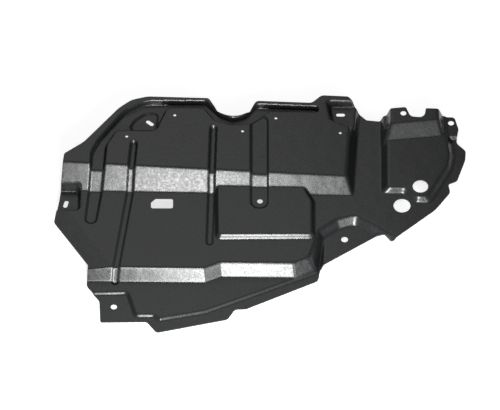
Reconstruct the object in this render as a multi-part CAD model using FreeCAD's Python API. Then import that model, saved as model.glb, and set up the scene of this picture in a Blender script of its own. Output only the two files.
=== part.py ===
"""Engine splash shield: one sheet of black plastic, formed into terraces, beads and pads.

Millimetres, +Z up. The flats lie level, +X runs along the shield and +Y across it, from the
low front rim to the high rear rim. The sheet is modelled the way it is made: a form is built
for its upper skin and the same form again, one wall lower, for its lower skin. The difference
of the two is the sheet, which is then trimmed to its outline and pierced.
"""

import FreeCAD, Part

import os
from math import atan2, cos, hypot, radians, sin, tan

Vector = FreeCAD.Vector

# Wall and levels of the upper skin, above the lowest point of the sheet
WALL = 2.5
RIM_LEVEL = WALL
FRONT_LEVEL = 7.5
TAB_LEVEL = 16.5
MIDDLE_LEVEL = 34.5
FLANGE_LEVEL = 43.5
CENTRE_PAD_RISE = 11.0
SUMP_PAD_RISE = 13.0
SHOULDER_LEVEL = 71.0
UPPER_LEVEL = 68.3
UPPER_FALL = 0.0247

# Slopes of the formed walls, from the flat, in degrees
RIM_SLOPE = 45.0
TAB_SLOPE = 70.0
FRONT_BAND_SLOPE = 58.0
REAR_BAND_SLOPE = 46.0
END_WALL_SLOPE = 64.0
CENTRE_PAD_SLOPE = 68.0
SUMP_PAD_SLOPE = 52.0
SUMP_PAD_FRONT_SLOPE = 66.0
SUMP_PAD_LEFT_SLOPE = 45.0
SHOULDER_SLOPE = 40.0
SHOULDER_LEFT_SLOPE = 66.0
STEEP_SLOPE = 72.0
SIDE_TAB_SLOPE = 78.0

# Depths of the beads below the upper flat, and below the lower flats and the bands
RIM_BEAD_DEPTHS = (13.0, 4.0)
CHANNEL_DEPTHS = (6.0, 3.0)
RIB_DEPTHS = (7.0, 3.0)

# Depths of the pockets below the flats around them
POCKET_DEPTH = 17.5
BRACKET_DEPTH = 18.5
SIDE_TAB_DEPTH = 11.0

# Rounds along the crests of the walls
BAND_ROUND = 7.0
PAD_ROUND = 4.5

# Edge that the left flat bends down along, and the angle of the bend
LEFT_BEND_START = (-397, 6)
LEFT_BEND_END = (-288, -158)
LEFT_BEND_ANGLE = 7.0
LEFT_BEND_REACH = 130.0

# Widths that the narrow beads are pressed to
RIB_WIDTH = 12.0
CHANNEL_WIDTH = 34.0

# Share of a bead's width that the corners of its ends are rounded by
BEAD_END_SHARE = 0.45

# Holes
ACCESS_HOLE = 34.0
PAD_HOLE = 31.0
TAB_HOLE = 14.0
CORNER_HOLE = 12.5
FLANGE_HOLE = 12.0
CENTRE_HOLE = 11.5
CLIP_HOLE = 6.0
SLOT_WIDTH = 8.5
SLOT_LENGTH = 18.0
WINDOW_LENGTH = 44.0
WINDOW_WIDTH = 24.0
WINDOW_CHAMFER = 9.0
WINDOW_ROUND = 4.0
WINDOW_CHAMFER_ROUND = 3.0

# Outline of the sheet from above, as corners with the radius of each
OUTLINE = [
    (-394, 80, 8), (-392, 95, 8), (-353, 124, 60), (-283, 209, 70), (-258, 229, 40),
    (-226, 238, 50), (-103, 236, 8), (-84, 203, 26), (-50, 187, 44), (-22, 205, 26),
    (-7, 231, 10), (104, 228, 14), (124, 247, 14), (177, 245, 7), (203, 218, 10),
    (214, 207, 8), (240, 204, 8), (248, 209, 8), (293, 214, 5), (302, 191, 11),
    (330, 188, 12), (333, 211, 3), (357, 210, 7), (366, 208, 6), (391, 208, 8),
    (399, 178, 10), (394, 151, 12), (413, 131, 8), (412, 110, 30), (395, 58, 10),
    (377, 50, 5), (381, 30, 12), (351, -12, 60), (265, -85, 9), (248, -68, 8),
    (231, -65, 8), (120, -138, 3), (116, -163, 10), (-28, -231, 14), (-50, -232, 10),
    (-64, -256, 14), (-206, -288, 9), (-226, -262, 8), (-318, -263, 4), (-320, -212, 14),
    (-346, -179, 14), (-343, -144, 5), (-412, -40, 10), (-402, 15, 90),
]

# Edges of the raised flats. Each corner has its radius and the slope of the wall after it.
FRONT_FLAT = [
    (-460, -197, 0), (-262, -192, 12), (-246, -247, 10), (-211, -247, 8), (-199, -256, 8),
    (-110, -238, 60), (112, -142, 8), (150, 40, 0), (-460, 40, 0),
]
LOW_TAB = [(121, -260, 0), (340, -260, 0), (340, 40, 0), (130, 40, 0)]
MIDDLE_FLAT = [
    (-470, -149, 0), (-112, -154, 12), (-80, -140, 14), (66, -142, 14), (98, -127, 16),
    (118, -62, 10), (152, -37, 26), (190, -25, 24), (300, -99, 0),
    (520, -99, 0), (520, 330, 0), (-470, 330, 0),
]
UPPER_FLAT_FOOT = [
    (-480, 35.9, 0, REAR_BAND_SLOPE), (186, 21.4, 7, END_WALL_SLOPE),
    (206, 340, 0, END_WALL_SLOPE), (-480, 340, 0, END_WALL_SLOPE),
]
CENTRE_PAD = [
    (-86, 76, 0), (-84, -80, 9), (104, -79, 9), (104, 3, 12), (86, 40, 12), (86, 76, 0),
]
SUMP_PAD = [
    (256, 33, 10, SUMP_PAD_FRONT_SLOPE), (291, 33, 20, SUMP_PAD_FRONT_SLOPE),
    (315, 11, 16, SUMP_PAD_FRONT_SLOPE), (334, 10, 18, SUMP_PAD_SLOPE),
    (375, 88, 60, SUMP_PAD_SLOPE), (380, 118, 40, SUMP_PAD_SLOPE), (372, 170, 0, SUMP_PAD_SLOPE),
    (372, 280, 0, SUMP_PAD_SLOPE), (256, 280, 0, SUMP_PAD_LEFT_SLOPE),
]
SHOULDER_FOOT = [
    (249, 145.5, 12, SHOULDER_SLOPE), (369, 158.5, 8, STEEP_SLOPE),
    (363, 290, 0, STEEP_SLOPE), (249, 290, 0, SHOULDER_LEFT_SLOPE),
]
SIDE_FLANGE = [(330, 163, 0), (430, 161, 0), (430, 300, 0), (330, 300, 0)]

# Recesses, as seen from above
RIM_BEAD = [
    (-350, -44, 10), (-328, -44, 10), (-312, 66, 60), (-308, 120, 30), (-288, 156, 16),
    (-210, 156, 16), (-186, 214, 16), (-112, 214, 14), (-91, 184, 16), (-54, 172, 30),
    (-18, 178, 8), (20, 208, 8), (116, 207.5, 5), (117, 219, 5), (-8, 223, 14),
    (-28, 196, 22), (-54, 186.5, 30), (-80, 198, 22), (-109, 229, 10), (-228, 227, 50),
    (-272, 202, 50), (-322, 134, 50), (-337, 102, 40), (-339, 66, 60),
]
POCKET = [
    (-272, 158, 8), (-204, 158, 9), (-198, 212, 9), (-232, 210, 30), (-256, 190, 30),
]
BRACKET_POCKET = [(133, 236, 8), (141, 188, 10), (181, 170, 0), (260, 170, 0), (260, 236, 0)]
SIDE_TAB_POCKET = [(-460, -12, 0), (-360, -12, 10), (-360, 42.5, 7), (-460, 42.5, 0)]
LEFT_RIB = [(-252, 128), (-261, 25), (-290, -174)]
CENTRE_RIB = [(-93, 168), (-101, -97)]
CHANNEL_END = (-1, -15)
CHANNEL_START = (-1, 196)

# Places of the holes
ACCESS_HOLE_PLACE = (284, -2)
PAD_HOLE_PLACE = (321, 36)
TAB_HOLE_PLACE = (169, -72)
CORNER_HOLE_PLACE = (-291, -226)
FLANGE_HOLE_PLACES = [(288, 199), (384, 194)]
CENTRE_HOLE_PLACE = (0, 3)
CLIP_HOLE_PLACES = [(-171, 193), (-267, 139), (-35, 156), (32, 189), (161, 155)]
WINDOW_PLACE = (-196, 3)
SLOT_PLACES = [(-388.5, 9, 75), (-221, 184, -40), (162, 212, 0)]

# Reach of the form above and below the sheet, and its plan
TOOL_LOW = -30.0
TOOL_HIGH = 120.0
TOOL_PLAN = (-520, -340, 1080, 700)
OVERLAP = 1.0
NEAR = 1e-4


def without_radius(points):
    """The places of an outline's corners alone."""
    return [point[:2] for point in points]


def shifted_corners(points, distances):
    """Corners of an anticlockwise outline after each side moves outwards by its distance."""
    lines = []
    for here, after, distance in zip(points, points[1:] + points[:1], distances):
        run, rise = after[0] - here[0], after[1] - here[1]
        length = hypot(run, rise)
        normal = (rise / length, -run / length)
        reach = normal[0] * here[0] + normal[1] * here[1] + distance
        lines.append((normal[0], normal[1], reach))
    corners = []
    for before, after in zip(lines[-1:] + lines[:-1], lines):
        turn = before[0] * after[1] - before[1] * after[0]
        x = (before[2] * after[1] - after[2] * before[1]) / turn
        y = (before[0] * after[2] - after[0] * before[2]) / turn
        corners.append((x, y))
    return corners


def turns_left(before, here, after):
    """Whether an anticlockwise outline is convex at the corner called here."""
    return (here[0] - before[0]) * (after[1] - here[1]) > (here[1] - before[1]) * (after[0] - here[0])


def flat_outline(points, distance=0.0):
    """Face in the XY plane: a rounded outline with all its sides moved outwards by distance."""
    corners = shifted_corners(points, [distance] * len(points))
    count = len(points)
    runs = []
    for index, (x, y) in enumerate(corners):
        before, after = corners[index - 1], corners[(index + 1) % count]
        convex = turns_left(points[index - 1], points[index], points[(index + 1) % count])
        radius = points[index][2] + (distance if convex else -distance)
        if points[index][2] == 0 or radius < 0.5:
            runs.append([Vector(x, y, 0)])
            continue
        towards = [Vector(before[0] - x, before[1] - y, 0), Vector(after[0] - x, after[1] - y, 0)]
        angle = towards[0].getAngle(towards[1])
        back = radius / tan(angle / 2)
        for way in towards:
            way.normalize()
        middle_way = (towards[0] + towards[1]).normalize()
        corner = Vector(x, y, 0)
        middle = corner + middle_way * (radius / sin(angle / 2) - radius)
        runs.append([corner + towards[0] * back, middle, corner + towards[1] * back])
    edges = []
    for run, following in zip(runs, runs[1:] + runs[:1]):
        if len(run) == 3:
            edges.append(Part.Arc(*run).toShape())
        if run[-1].distanceToPoint(following[0]) > 1e-6:
            edges.append(Part.LineSegment(run[-1], following[0]).toShape())
    return Part.Face(Part.Wire(edges))


def upright(points, low, high, distance=0.0):
    """Straight-walled block over an outline."""
    face = flat_outline(points, distance)
    face.translate(Vector(0, 0, low))
    return face.extrude(Vector(0, 0, high - low))


def rounded(solid, radius, wanted):
    """The solid with the edges that wanted picks rounded to one radius."""
    edges = [edge for edge in solid.Edges if wanted(edge)]
    return solid.makeFillet(radius, edges).Solids[0]


def sloped(points, slopes, level, low, top, fall=0.0):
    """Block with sloping planar walls that pass through an outline at one level.

    The top is level, or falls by a share of x. Corners with a radius are rounded.
    """
    spreads = [1 / tan(radians(slope)) for slope in slopes]
    here = shifted_corners(points, [0.0] * len(points))
    above = shifted_corners(points, [-spread for spread in spreads])
    bottom, crest = [], []
    for (x, y), (x_above, y_above) in zip(here, above):
        lean_x, lean_y = x_above - x, y_above - y
        bottom.append(Vector(x + (low - level) * lean_x, y + (low - level) * lean_y, low))
        height = (top - fall * (x - level * lean_x)) / (1 + fall * lean_x)
        crest.append(Vector(x + (height - level) * lean_x, y + (height - level) * lean_y, height))
    faces = [Part.Face(Part.makePolygon(ring + ring[:1])) for ring in (bottom[::-1], crest)]
    count = len(points)
    for index in range(count):
        after = (index + 1) % count
        ring = [bottom[index], bottom[after], crest[after], crest[index]]
        faces.append(Part.Face(Part.makePolygon(ring + ring[:1])))
    shell = Part.Shell(faces)
    shell.sewShape()
    solid = Part.Solid(shell)
    for index, point in enumerate(points):
        if point[2] > 0:
            solid = rounded(solid, point[2], joins(bottom[index], crest[index]))
    return solid


def joins(start, end):
    """Test that an edge runs between two points."""

    def test(edge):
        places = [vertex.Point for vertex in edge.Vertexes]
        return len(places) == 2 and all(
            min(place.distanceToPoint(point) for place in places) < NEAR for point in (start, end)
        )

    return test


def moved_outline(points, distances):
    """The outline with each side moved outwards by its distance and its radii kept."""
    moved = shifted_corners(without_radius(points), distances)
    return [(x, y, point[2]) for (x, y), point in zip(moved, points)]


def raised(points, slope, top, foot, skin, crest_round):
    """Raised flat: its edge at the crest, its walls down past the foot, its crest rounded."""
    slopes = [point[3] if len(point) > 3 else slope for point in points]
    outline = moved_outline(points, [-skin * tan(radians(angle) / 2) for angle in slopes])
    solid = sloped(outline, slopes, top - skin, foot - skin - OVERLAP, top - skin)
    return crest_rounded(solid, crest_round - skin, top - skin)


def crest_rounded(solid, radius, top):
    """The solid with all the edges of its level top rounded."""

    def on_top(edge):
        return all(abs(vertex.Z - top) < 1e-6 for vertex in edge.Vertexes)

    return rounded(solid, radius, on_top)


def stood_on(points, level, top, fall, skin):
    """Block whose walls pass through an outline at the level they stand on, one skin inside them."""
    slopes = [point[3] for point in points]
    outline = moved_outline(points, [-skin / sin(radians(slope)) for slope in slopes])
    return sloped(outline, slopes, level, MIDDLE_LEVEL - skin - OVERLAP, top - skin, fall)


def upper_flat(skin, lowered):
    """The high rear flat, which falls a little along the shield."""
    top = UPPER_LEVEL - lowered
    solid = stood_on(UPPER_FLAT_FOOT, MIDDLE_LEVEL, top, UPPER_FALL, skin)

    def on_top(edge):
        return all(
            abs(vertex.Z + UPPER_FALL * vertex.X - (top - skin)) < NEAR for vertex in edge.Vertexes
        )

    return rounded(solid, BAND_ROUND - skin, on_top)


def shoulder(skin):
    """The high flat at the far right, above the sump pad."""
    level = MIDDLE_LEVEL + SUMP_PAD_RISE
    solid = stood_on(SHOULDER_FOOT, level, SHOULDER_LEVEL, 0.0, skin)
    return crest_rounded(solid, BAND_ROUND - skin, SHOULDER_LEVEL - skin)


def terraces(skin, lowered=0.0):
    """All the raised flats, with no recess in them and the upper flat lowered."""
    x, y, length, width = TOOL_PLAN
    base = Part.makeBox(length, width, RIM_LEVEL - skin - TOOL_LOW, Vector(x, y, TOOL_LOW))
    pads = [
        raised(FRONT_FLAT, RIM_SLOPE, FRONT_LEVEL, RIM_LEVEL, skin, PAD_ROUND),
        raised(LOW_TAB, TAB_SLOPE, TAB_LEVEL, RIM_LEVEL, skin, PAD_ROUND),
        raised(MIDDLE_FLAT, FRONT_BAND_SLOPE, MIDDLE_LEVEL, RIM_LEVEL, skin, BAND_ROUND),
        upper_flat(skin, lowered),
        raised(CENTRE_PAD, CENTRE_PAD_SLOPE, MIDDLE_LEVEL + CENTRE_PAD_RISE, MIDDLE_LEVEL,
               skin, PAD_ROUND),
        raised(SUMP_PAD, SUMP_PAD_SLOPE, MIDDLE_LEVEL + SUMP_PAD_RISE, MIDDLE_LEVEL,
               skin, PAD_ROUND),
        shoulder(skin),
        raised(SIDE_FLANGE, TAB_SLOPE, FLANGE_LEVEL, MIDDLE_LEVEL, skin, PAD_ROUND),
    ]
    return base.fuse(pads).removeSplitter()


def bead(path, width):
    """Outline of a straight-sided bead of one width along a path, with rounded ends."""
    left, right = [], []
    for index, (x, y) in enumerate(path):
        before = path[max(index - 1, 0)]
        after = path[min(index + 1, len(path) - 1)]
        heading = atan2(after[1] - before[1], after[0] - before[0])
        side = (-sin(heading) * width / 2, cos(heading) * width / 2)
        radius = width * BEAD_END_SHARE if index in (0, len(path) - 1) else 0
        left.append((x + side[0], y + side[1], radius))
        right.append((x - side[0], y - side[1], radius))
    return right + left[::-1]


def pressed(block, outline, depths, skin):
    """The block with a bead pressed into it, deeper in the upper flat than below it."""
    deep, shallow = depths
    tool = upright(outline, TOOL_LOW + OVERLAP, TOOL_HIGH, skin)
    floor = terraces(skin, deep - shallow).cut(left_bend(skin))
    floor.translate(Vector(0, 0, -shallow))
    return block.cut(tool).fuse(floor.common(tool))


def pocket(points, rim, depth, slope, skin):
    """Cutter for a flat-floored recess whose walls slope in from its rim."""
    outline = moved_outline(points, [skin / sin(radians(slope))] * len(points))
    return sloped(outline, [180 - slope] * len(points), rim, rim - depth - skin, TOOL_HIGH)


def left_bend(skin):
    """Cutter that bends the left edge of the middle flat down."""
    start, end = Vector(*LEFT_BEND_START, 0), Vector(*LEFT_BEND_END, 0)
    way = (end - start).normalize()
    outward = Vector(way.y, -way.x, 0)
    far = start + outward * LEFT_BEND_REACH
    level = MIDDLE_LEVEL - skin
    drop = LEFT_BEND_REACH * tan(radians(LEFT_BEND_ANGLE))
    ring = [
        start + Vector(0, 0, level), start + Vector(0, 0, TOOL_HIGH),
        far + Vector(0, 0, TOOL_HIGH), far + Vector(0, 0, level - drop),
    ]
    return Part.Face(Part.makePolygon(ring + ring[:1])).extrude(end - start)


def form(skin):
    """Form block: skin is how far its surface lies below the upper skin of the sheet."""
    block = terraces(skin).cut(left_bend(skin))
    channel = bead([CHANNEL_START, CHANNEL_END], CHANNEL_WIDTH)
    block = pressed(block, channel, CHANNEL_DEPTHS, skin)
    for path in (LEFT_RIB, CENTRE_RIB):
        block = pressed(block, bead(path, RIB_WIDTH), RIB_DEPTHS, skin)
    block = pressed(block, RIM_BEAD, RIM_BEAD_DEPTHS, skin)
    upper_left = UPPER_LEVEL - UPPER_FALL * POCKET[0][0]
    upper_right = UPPER_LEVEL - UPPER_FALL * BRACKET_POCKET[0][0]
    cutters = [
        pocket(POCKET, upper_left, POCKET_DEPTH, STEEP_SLOPE, skin),
        pocket(BRACKET_POCKET, upper_right, BRACKET_DEPTH, STEEP_SLOPE, skin),
        pocket(SIDE_TAB_POCKET, MIDDLE_LEVEL, SIDE_TAB_DEPTH, SIDE_TAB_SLOPE, skin),
    ]
    return block.cut(cutters).removeSplitter()


def hole(place, diameter):
    """Cutter for a round hole through the sheet."""
    return Part.makeCylinder(diameter / 2, TOOL_HIGH - TOOL_LOW, Vector(*place, TOOL_LOW))


def slot(x, y, angle):
    """Cutter for a round-ended slot through the sheet, turned by an angle in degrees."""
    half = (SLOT_LENGTH - SLOT_WIDTH) / 2
    way = (cos(radians(angle)) * half, sin(radians(angle)) * half)
    ends = [hole((x + side * way[0], y + side * way[1]), SLOT_WIDTH) for side in (-1, 1)]
    middle = Part.makeBox(2 * half, SLOT_WIDTH, TOOL_HIGH - TOOL_LOW,
                          Vector(-half, -SLOT_WIDTH / 2, TOOL_LOW))
    middle.rotate(Vector(0, 0, 0), Vector(0, 0, 1), angle)
    middle.translate(Vector(x, y, 0))
    return middle.fuse(ends)


def window():
    """Cutter for the oblong window, with one corner cut off."""
    x, y = WINDOW_PLACE
    half, side, cut = WINDOW_LENGTH / 2, WINDOW_WIDTH / 2, WINDOW_CHAMFER
    corners = [
        (x - half, y - side, WINDOW_ROUND), (x + half, y - side, WINDOW_ROUND),
        (x + half, y + side, WINDOW_ROUND), (x - half + cut, y + side, WINDOW_CHAMFER_ROUND),
        (x - half, y + side - cut, WINDOW_CHAMFER_ROUND),
    ]
    return upright(corners, TOOL_LOW, TOOL_HIGH)


def holes():
    """Cutters for all the holes, slots and the window."""
    cutters = [
        hole(ACCESS_HOLE_PLACE, ACCESS_HOLE),
        hole(PAD_HOLE_PLACE, PAD_HOLE),
        hole(TAB_HOLE_PLACE, TAB_HOLE),
        hole(CORNER_HOLE_PLACE, CORNER_HOLE),
        hole(CENTRE_HOLE_PLACE, CENTRE_HOLE),
        window(),
    ]
    cutters += [hole(place, FLANGE_HOLE) for place in FLANGE_HOLE_PLACES]
    cutters += [hole(place, CLIP_HOLE) for place in CLIP_HOLE_PLACES]
    cutters += [slot(*place) for place in SLOT_PLACES]
    return cutters


def splash_shield():
    """The whole sheet, in its own frame."""
    skins = form(0.0).cut(form(WALL))
    outline = upright(OUTLINE[::-1], TOOL_LOW, TOOL_HIGH)
    return skins.common(outline).cut(holes())


os.makedirs("parts", exist_ok=True)
sheet = splash_shield()
box = sheet.optimalBoundingBox(False)
sheet.translate(Vector(-(box.XMin + box.XMax) / 2, -(box.YMin + box.YMax) / 2, -box.ZMin))
print("solids", len(sheet.Solids), "faces", len(sheet.Faces), "volume", round(sheet.Volume))
sheet.exportStep("parts/splash_shield.step")
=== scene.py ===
# %% [markdown]
# # An engine splash shield
#
# The real object is a single sheet of black polyethylene, pressed hot over a mould, that closes the
# underside of a car's engine bay. All of its form is in how the sheet rises and falls: a bead along the
# rear rim, terraces joined by sloping bands, pads round the large openings, and pockets for the bolts.
# This lesson takes the sheet from the CAD frame and gives it what a moulded sheet has and a drawing
# lacks: soft corners on the crest and at the foot of every step, and a black skin with the slight
# unevenness of hot plastic.

# %% Load the frame
from math import ceil, cos, radians, sin

import bmesh
import bpy
import numpy as np
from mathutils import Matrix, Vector
from mathutils.bvhtree import BVHTree
from mathutils.geometry import area_tri, delaunay_2d_cdt
from mathutils.kdtree import KDTree


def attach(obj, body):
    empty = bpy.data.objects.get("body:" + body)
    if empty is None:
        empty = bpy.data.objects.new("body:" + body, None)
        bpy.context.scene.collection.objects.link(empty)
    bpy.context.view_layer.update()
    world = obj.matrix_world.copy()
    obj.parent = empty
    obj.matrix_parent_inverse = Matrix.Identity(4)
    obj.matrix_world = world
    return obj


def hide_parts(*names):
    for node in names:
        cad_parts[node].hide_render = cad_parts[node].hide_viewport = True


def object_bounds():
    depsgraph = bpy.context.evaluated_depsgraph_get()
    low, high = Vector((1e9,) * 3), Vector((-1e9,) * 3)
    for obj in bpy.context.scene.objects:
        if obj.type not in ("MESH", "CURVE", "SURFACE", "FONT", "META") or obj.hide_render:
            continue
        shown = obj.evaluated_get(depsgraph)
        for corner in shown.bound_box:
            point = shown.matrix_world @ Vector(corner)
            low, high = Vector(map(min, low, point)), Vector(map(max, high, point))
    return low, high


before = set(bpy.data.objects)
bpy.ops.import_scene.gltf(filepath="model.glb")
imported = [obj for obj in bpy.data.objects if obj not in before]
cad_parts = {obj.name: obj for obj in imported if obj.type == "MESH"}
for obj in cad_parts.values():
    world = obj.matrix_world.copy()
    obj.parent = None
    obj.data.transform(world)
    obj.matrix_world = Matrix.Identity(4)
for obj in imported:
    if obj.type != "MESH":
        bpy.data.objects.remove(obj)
CAD_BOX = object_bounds()
MM = 0.001
print("frame loaded, box", CAD_BOX)

# %% [markdown]
# ## Where we stand
#
# The photograph was taken from far away, so its lines stay parallel and a round hole is the same ellipse
# everywhere. A long lens at a great distance gives the same picture. The camera looks down at 55 degrees
# from the side of the low front edge. It could be an orthographic camera as well, but a long lens keeps
# the small change in scale that a real picture has.

# %% Camera
LOOK_DOWN = radians(55)
PICTURE_WIDTH = 1.0
SENSOR = 36
LENS = 800
DISTANCE = PICTURE_WIDTH * LENS / SENSOR
FARTHEST = 100
TARGET = Vector((-0.0207, 0.0192, 0.0344))

bpy.ops.object.camera_add(location=TARGET + DISTANCE * Vector((0, -cos(LOOK_DOWN), sin(LOOK_DOWN))),
                          rotation=(radians(90) - LOOK_DOWN, 0, 0))
camera = bpy.context.object
camera.name = "camera"
camera.data.lens = LENS
camera.data.sensor_width = SENSOR
camera.data.clip_end = FARTHEST
bpy.context.scene.camera = camera
bpy.context.scene.view_settings.view_transform = "Standard"
print("camera at", [round(value, 3) for value in camera.location])

# %% [markdown]
# ## Helpers for materials
#
# Colours are written as the hex values that a colour picker shows, and Blender wants linear light, so
# one function turns them. Another adds a node, sets its values and links its inputs, which keeps each
# material readable as a short list of nodes. The third starts a material with no nodes in it.


# %% Material helpers
def linear(code):
    channels = [int(code[place:place + 2], 16) / 255 for place in (1, 3, 5)]
    bent = [value / 12.92 if value <= 0.04045 else ((value + 0.055) / 1.055) ** 2.4 for value in channels]
    return (*bent, 1.0)


def add_node(tree, kind, settings=None, inputs=None):
    node = tree.nodes.new(kind)
    for name, value in (settings or {}).items():
        setattr(node, name, value)
    for name, value in (inputs or {}).items():
        if isinstance(value, bpy.types.NodeSocket):
            tree.links.new(value, node.inputs[name])
        else:
            node.inputs[name].default_value = value
    return node


def new_tree(name):
    material = bpy.data.materials.new(name)
    material.use_nodes = True
    material.node_tree.nodes.clear()
    return material, material.node_tree


print("white is", linear("#ffffff"))

# %% [markdown]
# ## Floor and backdrop
#
# The shield was photographed on plain white with almost no shadow. The floor is a wide matt sheet that
# the lowest edge lies on. To the camera and in reflections it glows a little on its own, so that it
# reaches white without a stronger lamp. The light that the object takes away from it still shows as a
# soft shadow.

# %% Floor
FLOOR_GLOW = 0.7

bpy.ops.object.select_all(action="DESELECT")
bpy.ops.mesh.primitive_plane_add(size=40, location=(0, 0, 0))
floor = bpy.context.object
floor.name = "floor"

white_floor, tree = new_tree("matt_white_floor")
rays = add_node(tree, "ShaderNodeLightPath")
seen = add_node(tree, "ShaderNodeMath", {"operation": "ADD", "use_clamp": True},
                {0: rays.outputs["Is Camera Ray"], 1: rays.outputs["Is Glossy Ray"]})
seen = add_node(tree, "ShaderNodeMath", {"operation": "ADD", "use_clamp": True},
                {0: seen.outputs[0], 1: rays.outputs["Is Transmission Ray"]})
glow = add_node(tree, "ShaderNodeMath", {"operation": "MULTIPLY"}, {0: seen.outputs[0], 1: FLOOR_GLOW})
paper = add_node(tree, "ShaderNodeBsdfPrincipled", None,
                 {"Base Color": linear("#f0f0f0"), "Roughness": 0.9,
                  "Emission Color": linear("#ffffff"), "Emission Strength": glow.outputs[0]})
add_node(tree, "ShaderNodeOutputMaterial", None, {"Surface": paper.outputs[0]})
floor.data.materials.append(white_floor)
print("floor of", white_floor.name)

# %% [markdown]
# ## The room
#
# An even, dim grey room would do no harm to a matt object, but black plastic mirrors it in every face.
# So the world is kept low, and the steep walls stay nearly black as they do in the photograph.

# %% World
ROOM_LIGHT = 0.24

studio = bpy.data.worlds.new("studio")
bpy.context.scene.world = studio
studio.use_nodes = True
tree = studio.node_tree
tree.nodes.clear()
air = add_node(tree, "ShaderNodeBackground", None, {"Color": linear("#ffffff"), "Strength": ROOM_LIGHT})
add_node(tree, "ShaderNodeOutputWorld", None, {"Surface": air.outputs[0]})
print("world:", studio.name)


# %% [markdown]
# ## Lamps
#
# Black plastic shows its lamps more than its colour, as each face mirrors one part of the room. The
# flats mirror what is high behind the object, the wide rear band what is in front at 33 degrees, and
# the front band what is in front at 9 degrees. So each gets a soft lamp of its own there, and the lamps
# in front are narrow, which makes the bands fade towards their ends. Two weak lamps at the right give
# the slopes that turn that way a little shine.

# %% Lamps
def soft_lamp(name, place, width, height, watts):
    bpy.ops.object.light_add(type="AREA", location=place)
    lamp = bpy.context.object
    lamp.name = name
    lamp.rotation_euler = (TARGET - Vector(place)).to_track_quat("-Z", "Y").to_euler()
    lamp.data.shape = "RECTANGLE"
    lamp.data.size = width
    lamp.data.size_y = height
    lamp.data.energy = watts
    return lamp


lamps = [
    soft_lamp("high_lamp", (-0.3, 1.0, 1.6), 1.3, 1.3, 4.2),
    soft_lamp("front_lamp", (-0.19, -1.15, 0.78), 0.26, 0.4, 13.5),
    soft_lamp("low_lamp", (-0.04, -1.1, 0.26), 0.32, 0.32, 16),
    soft_lamp("right_lamp", (0.62, -1.25, 0.8), 0.3, 1.4, 4.4),
    soft_lamp("right_low_lamp", (0.6, -1.1, 0.3), 0.2, 0.4, 3.2),
]
print("lamps:", [lamp.name for lamp in lamps])

# %% [markdown]
# ## The sheet
#
# The shield's form is already right in the CAD frame, but there a step meets the flat below it in a hard
# line. A hot sheet can't do that: it is drawn over the mould and bridges each corner with a small curve,
# on the crests and in the feet alike. Bevels are the usual way to round corners, but here hundreds of
# short edges run into each other and bevels cross. So this lesson does what the press does: it lays two
# new skins of fine triangles on the form, lets them sag a little into the corners, and joins them with
# the narrow wall that the trimming knife leaves.
#
# First the form is measured. Two rays meet the sheet at every place of a fine raster, one from above
# and one from below, and their hits are the heights of the two skins. Where they hit nothing there is a
# hole or the outside of the sheet.

# %% Measure the form
STEP = 0.75 * MM
MARGIN = 16
FAR = 0.3
SAME_PLACE = 0.02 * MM
UP = Vector((0, 0, 1))

form = bmesh.new()
form.from_mesh(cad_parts["splash_shield"].data)
bmesh.ops.remove_doubles(form, verts=form.verts, dist=SAME_PLACE)
form.normal_update()
form.verts.index_update()
form_tree = BVHTree.FromBMesh(form)

low_corner, high_corner = CAD_BOX
origin = Vector(low_corner[:2]) - Vector((MARGIN * STEP, MARGIN * STEP))
columns, rows = (int((high_corner[axis] - low_corner[axis]) / STEP) + 2 * MARGIN + 2 for axis in (0, 1))


def reach(x, y, side=1):
    """The height of the upper skin (side 1) or the lower one (side -1), or None beside the sheet."""
    hit = form_tree.ray_cast(Vector((x, y, side * FAR)), -side * UP)[0]
    return hit.z if hit else None


def measured(side):
    heights = np.full((rows, columns), np.nan)
    for row in range(rows):
        for column in range(columns):
            height = reach(origin.x + column * STEP, origin.y + row * STEP, side)
            if height is not None:
                heights[row, column] = height
    return heights


upper_heights, lower_heights = measured(1), measured(-1)
present = np.isfinite(upper_heights + lower_heights).astype(float)
print("measured", rows, "by", columns, "places, of which sheet:", round(present.mean(), 3))

# %% [markdown]
# Sagging into the corners is a blur of the heights. Places that hold no sheet take no part in it, so
# the skin keeps its level right up to the trimmed edge. A second and wider blur fills the margin. Both
# skins are blurred alike, so they can't cross.

# %% Let the skins sag
SAG = 1.4 * MM
WIDE_SAG = 3 * SAG
LEAST_SHARE = 0.01
TINY_SHARE = 1e-9
TAIL = 4


def blurred(grid, width):
    spread = width / STEP
    offsets = np.arange(-int(TAIL * spread), int(TAIL * spread) + 1)
    kernel = np.exp(-offsets ** 2 / (2 * spread ** 2))
    kernel /= kernel.sum()
    for axis in (0, 1):
        grid = np.apply_along_axis(np.convolve, axis, grid, kernel, mode="same")
    return grid


def sagged(heights):
    kept = np.nan_to_num(heights) * present
    near_share, wide_share = blurred(present, SAG), blurred(present, WIDE_SAG)
    near = blurred(kept, SAG) / np.maximum(near_share, TINY_SHARE)
    wide = blurred(kept, WIDE_SAG) / np.maximum(wide_share, TINY_SHARE)
    skin = np.where(near_share > LEAST_SHARE, near, wide)
    return np.clip(skin, low_corner[2], high_corner[2])


upper_skin, lower_skin = sagged(upper_heights), sagged(lower_heights)
thickness = (upper_skin - lower_skin)[present > 0] / MM
print("upright thickness in mm:", round(thickness.min(), 2), "to", round(thickness.max(), 2))


def height_at(skin, x, y):
    """The value of a measured grid between its places."""
    across, along = (x - origin.x) / STEP, (y - origin.y) / STEP
    column, row = int(across), int(along)
    across, along = across - column, along - row
    near = skin[row, column] * (1 - across) + skin[row, column + 1] * across
    far = skin[row + 1, column] * (1 - across) + skin[row + 1, column + 1] * across
    return near * (1 - along) + far * along


# %% [markdown]
# The trimmed edge is taken from the form itself: it is where the upper skin meets an upright wall with
# no sheet on the other side. Those edges make closed rings, one for the outline and one for each hole,
# and long straight runs get points in between.

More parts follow.
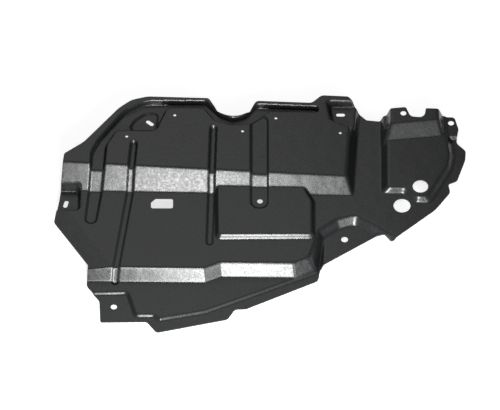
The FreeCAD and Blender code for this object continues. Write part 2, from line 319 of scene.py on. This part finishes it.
# %% Find the trimmed rings
UPRIGHT = 0.12
BESIDE = 0.25 * MM
LONGEST = 2.0 * MM
SHORTEST = 0.1 * MM
NO_LENGTH = 1e-7


def is_upright(face):
    return abs(face.normal.z) < UPRIGHT


def is_trimmed(edge):
    if len(edge.link_faces) != 2:
        return False
    first, second = edge.link_faces
    lying = second if is_upright(first) else first
    if is_upright(first) == is_upright(second) or lying.normal.z < 0:
        return False
    start, end = (vertex.co.xy for vertex in edge.verts)
    run = end - start
    if run.length < NO_LENGTH:
        return False
    side = Vector((-run.y, run.x)).normalized() * BESIDE
    middle = (start + end) / 2
    return (reach(*(middle + side)) is None) != (reach(*(middle - side)) is None)


neighbours = {}
for edge in form.edges:
    if is_trimmed(edge):
        first, second = edge.verts
        neighbours.setdefault(first, []).append(second)
        neighbours.setdefault(second, []).append(first)


def ring_from(start):
    """The chain of neighbours from one point on, until none is left that isn't in it."""
    ring, taken, onward = [], set(), [start]
    while onward:
        ring.append(onward[0])
        taken.add(onward[0])
        onward = [other for other in neighbours[ring[-1]] if other not in taken]
    return ring


def divided(places):
    """The same ring without crowded points and with no run longer than the longest one allowed."""
    kept = [place for place, before in zip(places, places[-1:] + places[:-1])
            if (place - before).length > SHORTEST]
    fine = []
    for start, end in zip(kept, kept[1:] + kept[:1]):
        parts = ceil((end - start).length / LONGEST)
        fine += [start.lerp(end, part / parts) for part in range(parts)]
    return fine


rings = []
waiting = set(neighbours)
while waiting:
    ring = ring_from(min(waiting, key=lambda vertex: (len(neighbours[vertex]), vertex.index)))
    waiting.difference_update(ring)
    rings.append(divided([vertex.co.xy for vertex in ring]))
print("rings:", len(rings), "with", sum(len(ring) for ring in rings), "points")

# %% [markdown]
# A skin needs many small triangles where it bends and few where it is flat. So how strongly it bends is
# worked out at every place, and points are set in squares that grow narrower from the flats to the
# tightest corners. Each grade pairs the width of a square, in steps, with the bend from which it is used.
# Points too near the trimmed edge are left out, as they would only make slivers. The lower skin is seldom
# seen, so its squares are never narrower than four steps.

# %% Choose the points of each skin
CLEAR = 0.6 * MM
GRADES = ((24, 0.0), (12, 1.0), (6, 4.0), (2, 40.0), (1, 380.0))
UPPER_FINEST, LOWER_FINEST = 1, 4

edge_points = [place for ring in rings for place in ring]
near_edge = KDTree(len(edge_points))
for index, place in enumerate(edge_points):
    near_edge.insert(place.to_3d(), index)
near_edge.balance()
inside = (present > 0) & (blurred(present, STEP) > 0.5)


def bending(skin):
    """How strongly the skin bends at every place: 1 over the radius in metres."""
    slope_y, slope_x = np.gradient(skin, STEP)
    bend_xy, bend_x = np.gradient(slope_x, STEP)
    bend_y = np.gradient(slope_y, STEP, axis=0)
    return np.sqrt(bend_x ** 2 + 2 * bend_xy ** 2 + bend_y ** 2)


def chosen_points(skin, finest):
    bends = np.where(inside, bending(skin), 0)
    wanted = np.zeros((rows, columns), dtype=bool)
    for spacing, least in GRADES:
        spacing = max(spacing, finest)
        squares = np.zeros((rows, columns), dtype=bool)
        squares[::spacing, ::spacing] = True
        wanted |= squares & inside & (blurred(bends, spacing * STEP) >= least)
    places = [origin + STEP * Vector((column, row)) for row, column in np.argwhere(wanted)]
    return [place for place in places if near_edge.find(place.to_3d())[2] > CLEAR]


upper_points = chosen_points(upper_skin, UPPER_FINEST)
lower_points = chosen_points(lower_skin, LOWER_FINEST)
print("points of the upper skin:", len(upper_points), "and of the lower one:", len(lower_points))

# %% [markdown]
# Delaunay's method joins the points to the most even triangles that hold every ring edge. It fills the
# holes and the hollows of the outline too, so a group of triangles that a ring fences off is kept only if
# there is sheet at the centre of its widest one. The two skins share their rings in plan, and a strip of
# upright faces between the rings closes the sheet.

# %% Lay the skins and join them
SLIVER = 0.01 * MM * MM

ring_edges = []
for ring in rings:
    first = len(ring_edges)
    ring_edges += [(first + step, first + (step + 1) % len(ring)) for step in range(len(ring))]


def fenced_groups(triangles, fences):
    """Triangles in groups that no ring edge crosses."""
    beside = {}
    for index, triangle in enumerate(triangles):
        for pair in zip(triangle, triangle[1:] + triangle[:1]):
            beside.setdefault(frozenset(pair), []).append(index)
    left = set(range(len(triangles)))
    while left:
        group, waiting = [], [left.pop()]
        while waiting:
            group.append(waiting.pop())
            triangle = triangles[group[-1]]
            for pair in zip(triangle, triangle[1:] + triangle[:1]):
                if frozenset(pair) not in fences:
                    found = left.intersection(beside[frozenset(pair)])
                    left -= found
                    waiting += found
        yield [triangles[index] for index in group]


def laid(points, skin):
    """The points and triangles of a skin. The ring points come first, in their order."""
    places, unused, triangles, *rest = delaunay_2d_cdt(edge_points + points, ring_edges, [], 0, NO_LENGTH)
    triangles = [tuple(triangle) for triangle in triangles]
    fences = set(map(frozenset, ring_edges))

    def area(triangle):
        return area_tri(*(places[corner] for corner in triangle))

    kept = []
    for group in fenced_groups(triangles, fences):
        widest = max(group, key=area)
        centre = sum((places[corner] for corner in widest), Vector((0, 0))) / 3
        if area(widest) > SLIVER and reach(*centre) is not None:
            kept += group
    return [(place.x, place.y, height_at(skin, place.x, place.y)) for place in places], kept


upper_places, upper_faces = laid(upper_points, upper_skin)
lower_places, lower_faces = laid(lower_points, lower_skin)
shift = len(upper_places)
faces = upper_faces + [tuple(shift + corner for corner in reversed(face)) for face in lower_faces]
faces += [(first, second, shift + second, shift + first) for first, second in ring_edges]

sheet_mesh = bpy.data.meshes.new("formed_sheet")
sheet_mesh.from_pydata(upper_places + lower_places, [], faces)
sheet = bpy.data.objects.new("formed_sheet", sheet_mesh)
bpy.context.scene.collection.objects.link(sheet)
bpy.ops.object.select_all(action="DESELECT")
sheet.select_set(True)
bpy.context.view_layer.objects.active = sheet
bpy.ops.object.mode_set(mode="EDIT")
bpy.ops.mesh.select_all(action="SELECT")
bpy.ops.mesh.normals_make_consistent(inside=False)
bpy.ops.object.mode_set(mode="OBJECT")
print("sheet:", len(sheet_mesh.vertices), "points,", len(sheet_mesh.polygons), "faces")

# %% [markdown]
# Smooth shading takes the way a point faces from the triangles round it, and on a steep wall those are
# few and uneven. The measured heights know it better, so every corner of a skin gets its facing from
# their slope there. The trimmed walls stay flat, which leaves the crisp line of the knife.

# %% Smooth shading
bpy.ops.object.shade_smooth()


def facing(slopes, point):
    """The way that a skin of these slopes faces at a point, for an upper skin."""
    along, across = (height_at(slope, point.x, point.y) for slope in slopes)
    return Vector((-across, -along, 1)).normalized()


upper_slopes, lower_slopes = np.gradient(upper_skin, STEP), np.gradient(lower_skin, STEP)
corners = []
for face in sheet_mesh.polygons:
    points = [sheet_mesh.vertices[corner].co for corner in face.vertices]
    if face.index < len(upper_faces):
        corners += [facing(upper_slopes, point) for point in points]
    elif face.index < len(upper_faces) + len(lower_faces):
        corners += [-facing(lower_slopes, point) for point in points]
    else:
        corners += [face.normal] * len(points)
sheet_mesh.normals_split_custom_set(corners)
print("corners turned to the measured skin:", len(corners))

# %% [markdown]
# ## Black polyethylene
#
# The real sheet is high density polyethylene, coloured black all through and pressed hot. That gives the
# eye a near black with soft, wide highlights: smoother than a grained part, but never a mirror, because
# the sheet cools unevenly. Two patterns stand for that. Slow waves of 30 mm bend the highlights, and a
# grain of 5 mm breaks them up. The real grain is finer, but it would not show at this size.

# %% Black plastic
WAVE_WIDTH, WAVE_DEPTH = 30 * MM, 0.5 * MM
GRAIN_WIDTH, GRAIN_DEPTH, GRAIN_STRENGTH = 5 * MM, 0.25 * MM, 0.12
SMOOTHEST, ROUGHEST = 0.24, 0.34
POLYETHYLENE_IOR = 1.5

black_skin, tree = new_tree("pressed_black_polyethylene")
place = add_node(tree, "ShaderNodeTexCoord")
waves = add_node(tree, "ShaderNodeTexNoise", None,
                 {"Vector": place.outputs["Object"], "Scale": 1 / WAVE_WIDTH,
                  "Detail": 2.0, "Roughness": 0.5})
grain = add_node(tree, "ShaderNodeTexNoise", None,
                 {"Vector": place.outputs["Object"], "Scale": 1 / GRAIN_WIDTH,
                  "Detail": 2.0, "Roughness": 0.5})
swell = add_node(tree, "ShaderNodeBump", None,
                 {"Height": waves.outputs["Fac"], "Strength": 1.0, "Distance": WAVE_DEPTH})
relief = add_node(tree, "ShaderNodeBump", None,
                  {"Height": grain.outputs["Fac"], "Strength": GRAIN_STRENGTH, "Distance": GRAIN_DEPTH,
                   "Normal": swell.outputs["Normal"]})
gloss = add_node(tree, "ShaderNodeMapRange", None,
                 {"Value": grain.outputs["Fac"], "From Min": 0.3, "From Max": 0.7,
                  "To Min": SMOOTHEST, "To Max": ROUGHEST})
plastic = add_node(tree, "ShaderNodeBsdfPrincipled", None,
                   {"Base Color": linear("#1a1b1c"), "Roughness": gloss.outputs[0], "IOR": POLYETHYLENE_IOR,
                    "Normal": relief.outputs["Normal"]})
add_node(tree, "ShaderNodeOutputMaterial", None, {"Surface": plastic.outputs[0]})
sheet.data.materials.clear()
sheet.data.materials.append(black_skin)
print("material:", black_skin.name)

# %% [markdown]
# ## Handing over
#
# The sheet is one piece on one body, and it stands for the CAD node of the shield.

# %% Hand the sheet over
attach(sheet, "root")
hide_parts("splash_shield")

# %% Done
print("done")
